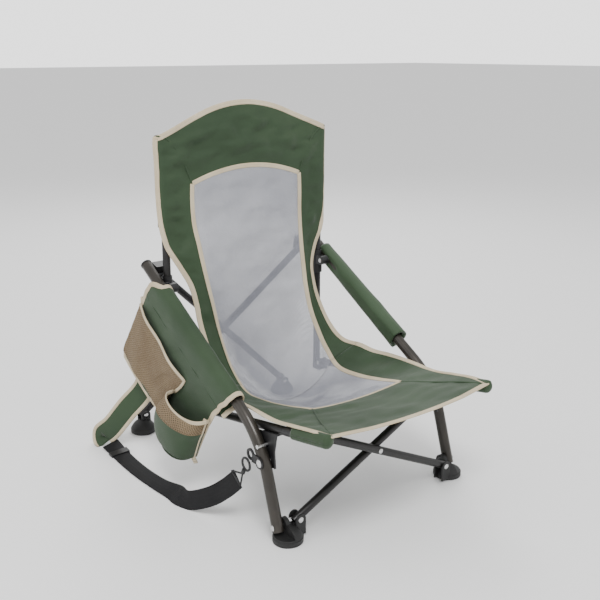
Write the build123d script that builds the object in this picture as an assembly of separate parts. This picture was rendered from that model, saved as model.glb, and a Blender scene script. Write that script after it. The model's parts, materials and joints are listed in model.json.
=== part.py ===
from build123d import *
import math
import os

# Folding camp chair, sizes in millimetres. The front faces -Y and the feet rest on Z = 0.
# Places are first given from the middle of the four feet; the last step moves the finished
# chair so that its origin is under the middle of its overall box.

# ---- driving dimensions ---------------------------------------------------------------
leg_lane = 220.0  # half distance between the two leg and arm tubes
leg_radius = 11.0
thin_radius = 8.0
tube_wall = 1.2
tube_gap = 0.5  # free space between two tubes that turn beside each other
pin_radius = 3.0
pin_play = 0.06
slide_play = 0.35
head_radius = 5.5
head_height = 2.0
big_head_radius = 7.5
big_head_height = 2.6
small_head_radius = 4.2
shoe_head_radius = 4.6
cross_head_radius = 5.0
arm_head_radius = 5.0
knuckle_head_radius = 4.8
low_head_height = 1.6
lean_pin_radius = 2.0
lean_head_radius = 3.4
lean_head_height = 1.2

foot_radius = 28.5
foot_rim = 10.0
foot_dome = 20.0
foot_inset = 14.0  # from a leg tube's middle in to its foot's middle
front_ear_width = 9.0
front_ear_radius = 13.0
tilt_room = 5.0  # how far short of a tube's radius its foot slot goes below the tube's end
front_foot_y = -286.5
rear_foot_y = 286.5

leg_pivot_y = -273.0
leg_pivot_z = 27.0
knee_y = -224.0
knee_z = 182.0
arm_end_y = 185.0
arm_end_z = 420.0
knee_bend = 180.0
arm_pin_y = 119.0

cap_depth = 18.0
cap_lip = 0.8
cap_length = 3.0
cap_dome = 2.5

front_plane_y = -288.0
front_low_z = 34.0
front_high_z = 209.0
tube_tail = 9.0  # tube left beyond a pivot
front_upper_tail = 3.0  # tube left beyond a front cross tube's upper end
plug_depth = 16.0

pole_y = 141.0
pole_bottom_z = 122.0
pole_top_z = 680.0
rail_pivot_y = 122.0
rail_pivot_z = 130.0
rail_front_y = -386.0
rail_front_z = 229.0
pole_plug_depth = 14.0
pole_plug_dome = 4.0
rail_plug_dome = 3.0
shoe_cheek = 2.6
shoe_eye_radius = 9.0
shoe_floor = 10.0  # from a pole's foot down to its shoe's underside
tongue_half = 7.0
collar_half_length = 19.0
collar_wall = 0.5
saddle_half_length = 15.0

hub_wall = 2.95
hub_gap = 0.7  # free space between a knuckle's sleeve and the arm tube
cross_inset = 17.0  # from a pole's lane in to the front cross tubes' lower pivots
rear_inset = 4.0  # from a pole's lane in to the rear cross tubes' pivots
lug_radius = 10.0
lug_inset = 9.0
washer_room = 3.2
washer_radius = 6.5
washer_play = 0.4
fork_ear = 3.0
fork_half = 5.3
fork_radius = 5.5
hub_below = 32.0
hub_above = 10.0
hub_reach = 24.0  # arm covers keep flush with the tube's inner side from here on
knuckle_pin_y = 161.0
knuckle_pin_rise = 18.0
rear_low_y = 276.0
rear_low_z = 38.0

sling_thickness = 2.4
sling_wrap = 17.0  # how far the sling's widest rows reach beyond a pole's middle line
mesh_half_width = 124.0
mesh_front_y = -235.0
mesh_top_z = 604.0

cover_play = 0.3
cover_pole_gap = 1.0
cover_pin_room = 10.6
pad_shift = 4.5
pad_radius = 18.0
pad_low_y = -110.0
pad_high_y = 148.0
sleeve_shift = 3.0
sleeve_radius = 16.0
sleeve_low_y = -150.0
sleeve_high_y = 108.0
panel_gap = 9.0  # from the arm tube's outer side out to the organiser's panel
panel_thickness = 3.0
strap_width = 38.0
strap_thickness = 2.0
hook_radius = 12.0
hook_wire_radius = 2.2
swivel_radius = 4.0
band_width = 52.0

# ---- places worked out from the driving dimensions -------------------------------------
hub_radius = thin_radius + slide_play + hub_wall
# half distance between the two back poles, and between the side rails
pole_lane = leg_lane - leg_radius - hub_radius - hub_gap
cross_lane = pole_lane - cross_inset
rear_lane = pole_lane - rear_inset
arm_slope = (arm_end_z - knee_z) / (arm_end_y - knee_y)
arm_angle = math.degrees(math.atan(arm_slope))
rail_slope = (rail_front_z - rail_pivot_z) / (rail_pivot_y - rail_front_y)
tube_step = 2 * thin_radius + tube_gap


def arm_z(y):
    return knee_z + (y - knee_y) * arm_slope


def rail_z(y):
    return rail_pivot_z + (rail_pivot_y - y) * rail_slope


arm_pin_z = arm_z(arm_pin_y)
arm_pin = (arm_pin_y, arm_pin_z)
knuckle_pin_z = arm_pin_z + knuckle_pin_rise
yoke_ear = 3.5  # thickness of one ear
yoke_width = 22.0
front_yoke_floor = 4.0
rear_yoke_floor = 8.0
rear_foot_offset = 6.0  # from the rear pivots out to the rear feet
bracket_thickness = 3.5
shelf_length = 46.0
shelf_thickness = 4.0
shelf_gap = 0.5
yoke_gap = thin_radius + 0.4
front_scissor = math.atan2(front_high_z - front_low_z, 2 * cross_lane)
front_cross_z = (front_high_z + front_low_z) / 2
rear_tube_a_y = front_plane_y + tube_step / 2
front_tube_b_y = front_plane_y - tube_step / 2

# Rear cross: its plane leans back from the knuckles down to the rear feet.
knuckle_reach = 5.5 + 2.5 + yoke_ear + yoke_gap
rear_high_y = knuckle_pin_y + knuckle_reach
rear_high_z = knuckle_pin_z
rear_lean = math.atan2(rear_low_y - rear_high_y, rear_high_z - rear_low_z)
rear_normal = Vector(0, math.cos(rear_lean), math.sin(rear_lean))
rear_rise = math.hypot(rear_low_y - rear_high_y, rear_high_z - rear_low_z)
rear_scissor = math.atan2(rear_rise, 2 * rear_lane)

pieces = {}


def keep(name, shape, tone):
    shape.label = name
    shape.color = Color(*tone)
    pieces[name] = shape


black = (0.05, 0.05, 0.05)
bronze = (0.24, 0.22, 0.19)
silver = (0.75, 0.75, 0.75)
green = (0.2, 0.3, 0.19)
grey = (0.6, 0.6, 0.65)
tan = (0.55, 0.46, 0.33)


# ---- shared shapes ----------------------------------------------------------------------
def rod(start, end, radius):
    line = Vector(*end) - Vector(*start)
    place = Plane(origin=start, z_dir=line)
    return place * Cylinder(radius, line.length, align=(Align.CENTER, Align.CENTER, Align.MIN))


def pipe(start, end, radius):
    return rod(start, end, radius) - rod(start, end, radius - tube_wall)


def moved(point, way, distance):
    return tuple(Vector(*point) + Vector(*way) * distance)


def dome(start, way, radius, height):
    """A rivet's or foot's low round cap standing on a plane at start, facing way."""
    ball = (radius * radius + height * height) / (2 * height)
    cap = Pos(0, 0, height - ball) * Sphere(ball)
    post = Cylinder(radius + 1, height, align=(Align.CENTER, Align.CENTER, Align.MIN))
    return Plane(origin=start, z_dir=Vector(*way)) * (cap & post)


def rivet(start, end, radius=pin_radius, head=head_radius, height=head_height):
    """A shank from start to end with a domed head standing on each of those two points."""
    way = (Vector(*end) - Vector(*start)).normalized()
    shank = rod(start, end, radius)
    return shank + dome(start, -way, head, height) + dome(end, way, head, height)


def box_between(low, high):
    size = [b - a for a, b in zip(low, high)]
    middle = [(a + b) / 2 for a, b in zip(low, high)]
    return Pos(*middle) * Box(*size)


def side_plate(outline, lane_a, lane_b):
    """A plate with its outline given as (y, z) points, between two x values."""
    corners = [(lane_a, y, z) for y, z in outline]
    face = make_face(Polyline(*corners, close=True)).faces()[0]
    return Solid.extrude(face, Vector(lane_b - lane_a, 0, 0))


def ribbon(stations, width, thickness):
    """A flat band lofted through stations of (point, direction of its width)."""
    sections = []
    for i, (point, across) in enumerate(stations):
        before = Vector(*stations[max(i - 1, 0)][0])
        after = Vector(*stations[min(i + 1, len(stations) - 1)][0])
        way = (after - before).normalized()
        flat = Vector(*across)
        flat = (flat - way * flat.dot(way)).normalized()
        sections.append(Plane(origin=point, x_dir=flat, z_dir=way) * Rectangle(width, thickness))
    return loft(sections, ruled=True)


# ---- feet -----------------------------------------------------------------------------
def foot_base(x, y):
    rim = Pos(x, y, 0) * Cylinder(foot_radius, foot_rim, align=(Align.CENTER, Align.CENTER, Align.MIN))
    rim = fillet(rim.edges().sort_by(Axis.Z)[0], 2.0)
    return rim + dome((x, y, foot_rim), (0, 0, 1), foot_radius - 1.0, foot_dome)


def yoke(pivot, normal, floor_z):
    """Two ears, one each side of a thin tube that turns about normal, standing on floor_z."""
    n = Vector(*normal).normalized()
    ears = None
    for sign in (-1, 1):
        near = Vector(*pivot) + n * (sign * yoke_gap)
        far = Vector(*pivot) + n * (sign * (yoke_gap + yoke_ear))
        disc = rod(tuple(near), tuple(far), yoke_width / 2)
        drop = pivot[2] - floor_z
        middle = (near + far) / 2 - Vector(0, 0, drop / 2)
        web = Pos(*middle) * Box(yoke_width, yoke_ear, drop)
        ear = disc + web
        ears = ear if ears is None else ears + ear
    return ears


def front_foot(sign):
    name = "left" if sign < 0 else "right"
    x = sign * (leg_lane - foot_inset)
    tube_y = rear_tube_a_y if sign < 0 else front_tube_b_y
    pivot = (sign * cross_lane, tube_y, front_low_z)
    body = foot_base(x, front_foot_y)
    wall_out = sign * (leg_lane - leg_radius - tube_gap)
    wall_in = wall_out - sign * front_ear_width
    ear_a = (wall_in, leg_pivot_y, leg_pivot_z)
    ear_b = (wall_out, leg_pivot_y, leg_pivot_z)
    body += rod(ear_a, ear_b, front_ear_radius)
    body += box_between(
        (min(wall_in, wall_out), leg_pivot_y - front_ear_radius, front_yoke_floor),
        (max(wall_in, wall_out), leg_pivot_y + front_ear_radius, leg_pivot_z),
    )
    body += yoke(pivot, (0, 1, 0), front_yoke_floor)
    recess_floor = leg_pivot_z - tube_tail - 5
    outer = sign * (leg_lane + foot_radius)
    body -= box_between(
        (min(wall_out, outer), front_foot_y - 60, recess_floor), (max(wall_out, outer), front_foot_y + 60, 90)
    )
    slot_floor = front_low_z - tube_tail - (thin_radius - tilt_room)
    slot_out = sign * (cross_lane + tube_tail + 4)
    slot_in = sign * (cross_lane - 60)
    body -= box_between(
        (min(slot_in, slot_out), tube_y - yoke_gap, slot_floor),
        (max(slot_in, slot_out), tube_y + yoke_gap, 90),
    )
    body -= rod(moved(ear_a, (-sign, 0, 0), 12), moved(ear_b, (sign, 0, 0), 2), pin_radius + pin_play)
    reach = yoke_gap + yoke_ear
    front_end = (pivot[0], pivot[1] - reach, pivot[2])
    rear_end = (pivot[0], pivot[1] + reach, pivot[2])
    body -= rod(moved(front_end, (0, -1, 0), 8), moved(rear_end, (0, 1, 0), 8), pin_radius + pin_play)
    body -= rod(moved(front_end, (0, -1, 0), 20), front_end, head_radius + 1)
    body -= rod(rear_end, moved(rear_end, (0, 1, 0), 20), head_radius + 1)
    body -= rod(moved(ear_a, (-sign, 0, 0), 20), ear_a, head_radius + 1)
    keep(f"front_foot_{name}", body, black)
    leg_out = (sign * (leg_lane + leg_radius), leg_pivot_y, leg_pivot_z)
    pins = rivet(front_end, rear_end) + rivet(ear_a, leg_out)
    keep(f"front_foot_rivets_{name}", pins, silver)


def rear_foot(sign):
    """The left foot holds tube b and the right foot holds tube a, one tube step further forward."""
    name = "left" if sign < 0 else "right"
    shift = rear_normal * (tube_step if sign < 0 else 0)
    pivot = tuple(Vector(sign * rear_lane, rear_low_y, rear_low_z) + shift)
    x = sign * (rear_lane + rear_foot_offset)
    body = foot_base(x, rear_foot_y)
    body += yoke(pivot, tuple(rear_normal), rear_yoke_floor)
    slot = Plane(origin=pivot, x_dir=(1, 0, 0), z_dir=rear_normal)
    cut_low = -(tube_tail + thin_radius - tilt_room)
    cut = box_between((-60, cut_low, -yoke_gap), (tube_tail + 4, 60, yoke_gap))
    if sign < 0:
        cut = box_between((-tube_tail - 4, cut_low, -yoke_gap), (60, 60, yoke_gap))
    up_is_minus = slot.y_dir.Z < 0
    if up_is_minus:
        cut = mirror(cut, about=Plane.XZ)
    body -= slot * cut
    reach = yoke_gap + yoke_ear
    front_end = moved(pivot, tuple(rear_normal), -reach)
    rear_end = moved(pivot, tuple(rear_normal), reach)
    way = tuple(rear_normal)
    body -= rod(moved(front_end, way, -8), moved(rear_end, way, 8), pin_radius + pin_play)
    body -= rod(moved(front_end, way, -20), front_end, head_radius + 1)
    body -= rod(rear_end, moved(rear_end, way, 20), head_radius + 1)
    keep(f"rear_foot_{name}", body, black)
    keep(f"rear_foot_rivet_{name}", rivet(front_end, rear_end), silver)


# ---- leg and arm tubes ------------------------------------------------------------------
def bent_rod(sign, radius):
    """The leg and arm tube's line, from its tail below the foot pivot to the arm's end."""
    lean = math.atan2(knee_y - leg_pivot_y, knee_z - leg_pivot_z)
    low_y = leg_pivot_y - tube_tail * math.sin(lean)
    low_z = leg_pivot_z - tube_tail * math.cos(lean)
    corners = [(low_y, low_z), (knee_y, knee_z), (arm_end_y, arm_end_z)]
    path = FilletPolyline(*[(sign * leg_lane, y, z) for y, z in corners], radius=knee_bend)
    start = Plane(origin=path @ 0, z_dir=path % 0)
    return sweep(start * Circle(radius), path=path)


def leg_and_arm(sign):
    name = "left" if sign < 0 else "right"
    lane = sign * leg_lane
    tube = bent_rod(sign, leg_radius) - bent_rod(sign, leg_radius - tube_wall)
    inside = sign * (leg_lane - leg_radius - 6)
    outside = sign * (leg_lane + leg_radius + 6)
    for y, z in ((leg_pivot_y, leg_pivot_z), arm_pin, big_rivet, small_rivet):
        tube -= rod((inside, y, z), (outside, y, z), pin_radius + pin_play)
    keep(f"leg_arm_tube_{name}", tube, bronze)
    way = (0, math.cos(math.radians(arm_angle)), math.sin(math.radians(arm_angle)))
    end = (lane, arm_end_y, arm_end_z)
    cap = rod(moved(end, way, -cap_depth), end, leg_radius - tube_wall)
    cap += rod(end, moved(end, way, cap_length), leg_radius + cap_lip)
    cap += dome(moved(end, way, cap_length), way, leg_radius + cap_lip, cap_dome)
    keep(f"arm_end_cap_{name}", cap, black)


# The black bracket on the inner side of each leg carries the side rail when the chair is open.
bracket_lean = (knee_y - leg_pivot_y) / (knee_z - leg_pivot_z)


def leg_y(z):
    return leg_pivot_y + (z - leg_pivot_z) * bracket_lean


big_rivet = (leg_y(141.0), 141.0)
small_rivet = (leg_y(169.0), 169.0)


def leg_bracket(sign):
    name = "left" if sign < 0 else "right"
    face_x = sign * (leg_lane - leg_radius)
    inner_x = face_x - sign * bracket_thickness
    outline = [
        (leg_y(128) - 10, 128),
        (leg_y(128) + 10, 128),
        (leg_y(160) + 22, 160),
        (leg_y(160) + 34, 186),
        (leg_y(160) - 26, 198),
        (leg_y(160) - 18, 160),
    ]
    plate = side_plate(outline, face_x, inner_x)
    shelf_y = leg_y(160) + 4
    shelf_top = rail_z(shelf_y) - thin_radius - shelf_gap
    shelf_slope = -math.degrees(math.atan(rail_slope))
    reach = abs(inner_x) - (pole_lane - thin_radius)
    shelf = Box(reach, shelf_length, shelf_thickness)
    shelf_x = sign * (pole_lane - thin_radius + reach / 2)
    shelf_middle = shelf_top - shelf_thickness / 2 - shelf_gap
    shelf = Pos(shelf_x, shelf_y, shelf_middle) * Rot(shelf_slope, 0, 0) * shelf
    body = plate + shelf
    for y, z in (big_rivet, small_rivet):
        body -= rod((face_x + sign, y, z), (inner_x - sign, y, z), pin_radius + pin_play)
    keep(f"leg_bracket_{name}", body, black)
    outer_x = sign * (leg_lane + leg_radius)
    shim = sign * 3.0 if sign < 0 else 0
    big = rivet(
        (inner_x, *big_rivet), (outer_x + shim, *big_rivet), pin_radius, big_head_radius, big_head_height
    )
    small_ends = ((inner_x, *small_rivet), (outer_x, *small_rivet))
    small = rivet(*small_ends, pin_radius, small_head_radius, low_head_height)
    keep(f"leg_rivets_{name}", big + small, silver)


# ---- side rails, poles and hubs -----------------------------------------------------------
def rail_pin_rod(lane, half, radius):
    """A rod along a side rail's pivot, reaching half to each side of the lane."""
    return rod((lane - half, rail_pivot_y, rail_pivot_z), (lane + half, rail_pivot_y, rail_pivot_z), radius)


def pole(sign):
    name = "left" if sign < 0 else "right"
    lane = sign * pole_lane
    low = (lane, pole_y, pole_bottom_z)
    high = (lane, pole_y, pole_top_z)
    keep(f"back_pole_{name}", pipe(low, high, thin_radius), black)
    plug = rod((lane, pole_y, pole_top_z - pole_plug_depth), high, thin_radius - tube_wall)
    plug += dome(high, (0, 0, 1), thin_radius, pole_plug_dome)
    keep(f"pole_top_plug_{name}", plug, black)
    shoe = rod((lane, pole_y, pole_bottom_z - 6), low, thin_radius + 1)
    shoe += rod(low, moved(low, (0, 0, 1), 20), thin_radius - tube_wall)
    half = thin_radius + tube_gap
    underside = pole_bottom_z - shoe_floor
    shoe += rod((lane, pole_y, underside), (lane, pole_y, pole_bottom_z - 4), thin_radius + 1)
    shoe += box_between(
        (lane - half - shoe_cheek, rail_pivot_y - 4, underside),
        (lane + half + shoe_cheek, pole_y, pole_bottom_z - 2),
    )
    for way in (-1, 1):
        near = lane + way * half
        far = lane + way * (half + shoe_cheek)
        shoe += rod((near, rail_pivot_y, rail_pivot_z), (far, rail_pivot_y, rail_pivot_z), shoe_eye_radius)
        shoe += box_between(
            (min(near, far), rail_pivot_y - 8, underside),
            (max(near, far), rail_pivot_y + shoe_eye_radius, rail_pivot_z),
        )
    shoe -= rail_pin_rod(lane, 20, pin_radius + pin_play)
    shoe -= rail_pin_rod(lane, half, thin_radius + 1.6)
    keep(f"pole_shoe_{name}", shoe, black)
    ends = [(lane + way * (half + shoe_cheek), rail_pivot_y, rail_pivot_z) for way in (-1, 1)]
    pin = rivet(ends[0], ends[1], pin_radius, shoe_head_radius, low_head_height)
    keep(f"pole_shoe_rivet_{name}", pin, silver)


def rail(sign):
    name = "left" if sign < 0 else "right"
    lane = sign * pole_lane
    way = Vector(0, rail_front_y - rail_pivot_y, rail_front_z - rail_pivot_z).normalized()
    pivot = (lane, rail_pivot_y, rail_pivot_z)
    tube = pipe(moved(pivot, way, thin_radius + 2.6), (lane, rail_front_y, rail_front_z), thin_radius)
    keep(f"side_rail_{name}", tube, black)
    tongue = rail_pin_rod(lane, tongue_half, thin_radius)
    tongue += rod(pivot, moved(pivot, way, 26), thin_radius - tube_wall) - rod(
        (lane - 30, rail_pivot_y, rail_pivot_z), (lane - tongue_half - 0.001, rail_pivot_y, rail_pivot_z), 30
    )
    tongue -= rail_pin_rod(lane, tongue_half + 2, pin_radius + pin_play)
    front = (lane, rail_front_y, rail_front_z)
    plug = rod(moved(front, way, -plug_depth), front, thin_radius - tube_wall)
    plug += dome(front, way, thin_radius, rail_plug_dome)
    keep(f"rail_end_plugs_{name}", tongue + plug, black)
    saddle_y = front_plane_y
    mid = (lane, saddle_y, rail_z(saddle_y))
    low = moved(mid, way, -collar_half_length)
    collar = rod(low, moved(mid, way, collar_half_length), thin_radius + collar_wall)
    pad_in = sign * (pole_lane - thin_radius - collar_wall)
    collar += box_between(
        (min(pad_in, lane), saddle_y - saddle_half_length, mid[2] - thin_radius - 1),
        (max(pad_in, lane), saddle_y + saddle_half_length, mid[2] + thin_radius - 1),
    )
    collar -= rod(moved(mid, way, -40), moved(mid, way, 40), thin_radius)
    keep(f"rail_collar_{name}", collar, black)


def hub(sign):
    name = "left" if sign < 0 else "right"
    lane = sign * pole_lane
    sleeve = rod((lane, pole_y, arm_pin_z - hub_below), (lane, pole_y, arm_pin_z + hub_above), hub_radius)
    sleeve = fillet(sleeve.edges(), 1.5)
    lug_in = sign * (pole_lane - lug_inset)
    lug_out = sign * (leg_lane - leg_radius - washer_room)
    lug = rod((lug_in, *arm_pin), (lug_out, *arm_pin), lug_radius)
    lug += box_between(
        (min(lug_in, lug_out), arm_pin_y, arm_pin_z - lug_radius),
        (max(lug_in, lug_out), pole_y - 4, arm_pin_z + 8),
    )
    fork = None
    for way in (-1, 1):
        near = lane + way * fork_half
        far = lane + way * (fork_half + fork_ear)
        ear = rod((near, knuckle_pin_y, knuckle_pin_z), (far, knuckle_pin_y, knuckle_pin_z), fork_radius)
        ear += box_between(
            (min(near, far), pole_y, arm_pin_z - 8),
            (max(near, far), knuckle_pin_y + fork_radius, knuckle_pin_z),
        )
        fork = ear if fork is None else fork + ear
    body = sleeve + lug + fork
    body += rod((lane, pole_y, arm_pin_z - 8), (lane, pole_y, knuckle_pin_z + 3), hub_radius - 1)
    bore = rod((lane, pole_y, 0), (lane, pole_y, 900), thin_radius + slide_play)
    body -= bore
    slot = box_between(
        (lane - fork_half, pole_y + hub_radius - 1, arm_pin_z - 60),
        (lane + fork_half, pole_y + 60, knuckle_pin_z + 60),
    )
    body -= slot
    body -= rod((sign * (pole_lane - 47), *arm_pin), (sign * (leg_lane + 40), *arm_pin), pin_radius + pin_play)
    body -= rod(
        (lane - 30, knuckle_pin_y, knuckle_pin_z),
        (lane + 30, knuckle_pin_y, knuckle_pin_z),
        lean_pin_radius + pin_play,
    )
    keep(f"arm_hub_{name}", body, black)
    ends = [(lane + way * (fork_half + fork_ear), knuckle_pin_y, knuckle_pin_z) for way in (-1, 1)]
    lean_pin = rivet(ends[0], ends[1], lean_pin_radius, lean_head_radius, lean_head_height)
    arm_out = (sign * (leg_lane + leg_radius), *arm_pin)
    arm_in = (lug_in - sign * washer_play, *arm_pin)
    arm_rivet = rivet(arm_in, arm_out, pin_radius, arm_head_radius, low_head_height)
    washer_in = lug_out + sign * washer_play
    washer_out = sign * (leg_lane - leg_radius)
    washer = rod((washer_in, *arm_pin), (washer_out, *arm_pin), washer_radius)
    washer -= rod((washer_in - sign, *arm_pin), (washer_out + sign, *arm_pin), pin_radius)
    keep(f"arm_hub_pins_{name}", arm_rivet + washer + lean_pin, silver)


def knuckle(sign):
    """A small yoke that leans with the rear cross and holds one tube's upper end."""
    name = "left" if sign < 0 else "right"
    lane = sign * pole_lane
    shift = rear_normal * (0 if sign < 0 else tube_step)
    pivot = Vector(sign * rear_lane, rear_high_y, rear_high_z) + shift
    pin = (lane, knuckle_pin_y, knuckle_pin_z)
    n = rear_normal
    up = Vector(0, -math.sin(rear_lean), math.cos(rear_lean))
    frame = Plane(origin=pivot, x_dir=(1, 0, 0), z_dir=n)
    flip = 1 if frame.y_dir.dot(up) > 0 else -1
    half = 15.0
    body = None
    for way in (-1, 1):
        low = way * yoke_gap if way > 0 else -yoke_gap - yoke_ear
        cheek = box_between((-half, -10, low), (half, 20, low + yoke_ear))
        body = cheek if body is None else body + cheek
    body += box_between((-half, 18.5, -yoke_gap - yoke_ear), (half, 22, yoke_gap + yoke_ear))
    if flip < 0:
        body = mirror(body, about=Plane.XZ)
    body = frame * body
    tongue = rod((lane - 5, knuckle_pin_y, knuckle_pin_z), (lane + 5, knuckle_pin_y, knuckle_pin_z), 4.6)
    root = Vector(lane, pivot.Y, pivot.Z) - n * (yoke_gap + yoke_ear / 2)
    link = Vector(*pin)
    line = root - link
    arm = Plane(origin=link, x_dir=(1, 0, 0), z_dir=line) * Box(
        10, 9, line.length, align=(Align.CENTER, Align.CENTER, Align.MIN)
    )
    body += tongue + arm
    low_pin = (lane - 9, knuckle_pin_y, knuckle_pin_z)
    body -= rod(low_pin, (lane + 9, knuckle_pin_y, knuckle_pin_z), lean_pin_radius + pin_play)
    reach = yoke_gap + yoke_ear
    ends = [tuple(pivot + n * (way * reach)) for way in (-1, 1)]
    if sign < 0:
        body -= rod(tuple(pivot - n * 12), tuple(pivot + n * 12), pin_radius + pin_play)
        body -= rod(ends[0], tuple(pivot - n * (reach + 2.2)), 5.5)
        pin = rivet(ends[0], ends[1], pin_radius, knuckle_head_radius, low_head_height)
        keep("knuckle_rivet_left", pin, silver)
    keep(f"knuckle_{name}", body, black)


# ---- cross tubes ---------------------------------------------------------------------------
def cross_tube(low, high, normal, name, plug_high):
    way = (Vector(*high) - Vector(*low)).normalized()
    start = moved(low, tuple(way), -tube_tail)
    end = moved(high, tuple(way), tube_tail if plug_high else front_upper_tail)
    n = Vector(*normal)
    tube = pipe(start, end, thin_radius)
    middle = (Vector(*low) + Vector(*high)) / 2
    holes = [Vector(*low), middle]
    if plug_high:
        holes.append(Vector(*high))
    for point in holes:
        tube -= rod(tuple(point - n * 20), tuple(point + n * 20), pin_radius + pin_play)
    keep(name, tube, black)
    return tuple(middle)


def crosses():
    lower = (-cross_lane, rear_tube_a_y, front_low_z)
    upper = (cross_lane, rear_tube_a_y, front_high_z)
    mid_a = cross_tube(lower, upper, (0, 1, 0), "front_cross_tube_a", False)
    lower = (cross_lane, front_tube_b_y, front_low_z)
    upper = (-cross_lane, front_tube_b_y, front_high_z)
    mid_b = cross_tube(lower, upper, (0, 1, 0), "front_cross_tube_b", False)
    front_end = (0, mid_b[1] - thin_radius, mid_b[2])
    rear_end = (0, mid_a[1] + thin_radius, mid_a[2])
    keep("front_cross_rivet", rivet(front_end, rear_end, pin_radius, cross_head_radius, head_height), silver)
    n = rear_normal
    up_a = Vector(-rear_lane, rear_high_y, rear_high_z)
    low_a = Vector(rear_lane, rear_low_y, rear_low_z)
    mid_a = cross_tube(tuple(low_a), tuple(up_a), tuple(n), "rear_cross_tube_a", True)
    up_b = Vector(rear_lane, rear_high_y, rear_high_z) + n * tube_step
    low_b = Vector(-rear_lane, rear_low_y, rear_low_z) + n * tube_step
    mid_b = cross_tube(tuple(low_b), tuple(up_b), tuple(n), "rear_cross_tube_b", True)
    ends = (Vector(*mid_a) - n * thin_radius, Vector(*mid_b) + n * thin_radius)
    pin = rivet(tuple(ends[0]), tuple(ends[1]), pin_radius, cross_head_radius, head_height)
    keep("rear_cross_rivet", pin, silver)


def tube_end_plugs():
    """Moulded plugs in the front cross tubes' upper ends, beside the rail collars."""
    for name, sign, y in (("a", 1, rear_tube_a_y), ("b", -1, front_tube_b_y)):
        low = Vector(-sign * cross_lane, y, front_low_z)
        high = Vector(sign * cross_lane, y, front_high_z)
        way = (high - low).normalized()
        start = high + way * front_upper_tail
        plug = rod(tuple(start - way * plug_depth), tuple(start), thin_radius - tube_wall)
        plug += rod(tuple(start), tuple(start + way * 1.2), thin_radius - 0.4)
        keep(f"front_cross_plug_{name}", plug, black)


# ---- fabric ----------------------------------------------------------------------------------
# Each station is (y, z, half width) of the sheet, from the seat's front hem up to the top hem,
# drawn for one chair; sling_place fits them to the poles' lane, height and radius.
drawn_half_width = 214.0
drawn_pole_top_z = 680.0
drawn_bend_z = 260.0
drawn_thin_radius = 8.0
sling_stations = [
    (-407, 243, 200),
    (-346, 233.5, 204),
    (-240, 214.5, 205),
    (-150, 197, 204),
    (-80, 184.5, 198),
    (-20, 188, 190),
    (20, 215, 176),
    (48, 260, 164),
    (75, 310, 158),
    (98, 380, 166),
    (118, 455, 200),
    (127, 520, 212),
    (130, 600, 214),
    (130.5, 686, 214),
    (130.5, 702, 172),
    (130.5, 725, 124),
    (130.5, 742, 60),
    (130.5, 749, 16),
]
seat_station_count = 6


def sling_place(station):
    y, z, half = station
    stretch = (pole_top_z - drawn_bend_z) / (drawn_pole_top_z - drawn_bend_z)
    high = drawn_bend_z + (z - drawn_bend_z) * stretch
    wide = half * (pole_lane + sling_wrap) / drawn_half_width
    thicker = thin_radius - drawn_thin_radius
    if z > drawn_bend_z:
        return y - thicker, high, wide
    return y, z + thicker, wide


def sheet(first, last):
    """A thin sheet through the stations from first to last, as one ruled loft."""
    sections = []
    for i in range(first, last + 1):
        y, z, half = sling_place(sling_stations[i])
        before = sling_place(sling_stations[max(i - 1, 0)])
        after = sling_place(sling_stations[min(i + 1, len(sling_stations) - 1)])
        way = Vector(0, after[0] - before[0], after[1] - before[1]).normalized()
        place = Plane(origin=(0, y, z), x_dir=(1, 0, 0), z_dir=way)
        sections.append(place * Rectangle(2 * half, sling_thickness))
    return loft(sections, ruled=True)


def sling():
    seat = sheet(0, seat_station_count - 1)
    back = sheet(seat_station_count - 1, len(sling_stations) - 1)
    window = box_between((-mesh_half_width, mesh_front_y, 100), (mesh_half_width, pole_y + 20, mesh_top_z))
    keep("seat_fabric", seat - window, green)
    keep("back_fabric", back - window, green)
    keep("seat_mesh", seat & window, grey)
    keep("back_mesh", back & window, grey)


def arm_rod(sign, low_y, high_y, radius, lane):
    low = (sign * lane, low_y, arm_z(low_y))
    high = (sign * lane, high_y, arm_z(high_y))
    return rod(low, high, radius)


def arm_cover(sign, low_y, high_y, radius, shift):
    """A padded cover round the arm tube, flat where it faces the pole, and flush beside the hub."""
    lane = leg_lane + shift
    cover = arm_rod(sign, low_y, high_y, radius, lane)
    cover -= bent_rod(sign, leg_radius + cover_play)
    flat = sign * (pole_lane + thin_radius + cover_pole_gap)
    far = sign * (pole_lane - 40)
    cover -= box_between((min(flat, far), -400, 0), (max(flat, far), 400, 800))
    flush = sign * (leg_lane - leg_radius + tube_gap)
    hub_y = arm_pin_y - hub_reach
    cover -= box_between((min(flush, far), hub_y, 0), (max(flush, far), 400, 800))
    outer = (sign * (leg_lane + leg_radius + 2.5), *arm_pin)
    inner = (sign * (leg_lane - leg_radius - 8), *arm_pin)
    cover -= rod(inner, outer, cover_pin_room)
    return cover


def arm_pad():
    keep("arm_pad_right", arm_cover(1, pad_low_y, pad_high_y, pad_radius, pad_shift), green)


# The organiser hangs square to the left arm, on its outer side. Outlines are (along, down):
# the distance along the arm from the knee, and the distance below the arm's middle line.
organiser_x = -(leg_lane + leg_radius + panel_gap)
panel_outline = [
    (88, 0),
    (110, 64),
    (113, 132),
    (111, 193),
    (262, 200),
    (330, 224),
    (408, 246),
    (438, 228),
    (434, 145),
    (427, 64),
    (419, 0),
]
pocket_outline = [(222, 72), (262, 196), (330, 218), (406, 239), (434, 222), (430, 145), (424, 72)]
pocket_swell = 9.0
holder_middle_y = -6.0
holder_half_length = 76.0
holder_swell = 42.0
holder_low_z = 82.0
holder_ring_z = 150.0
holder_high_z = 180.0
holder_low_share = 0.82  # the cup's floor, as a share of its mouth
holder_wall = 2.5


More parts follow.
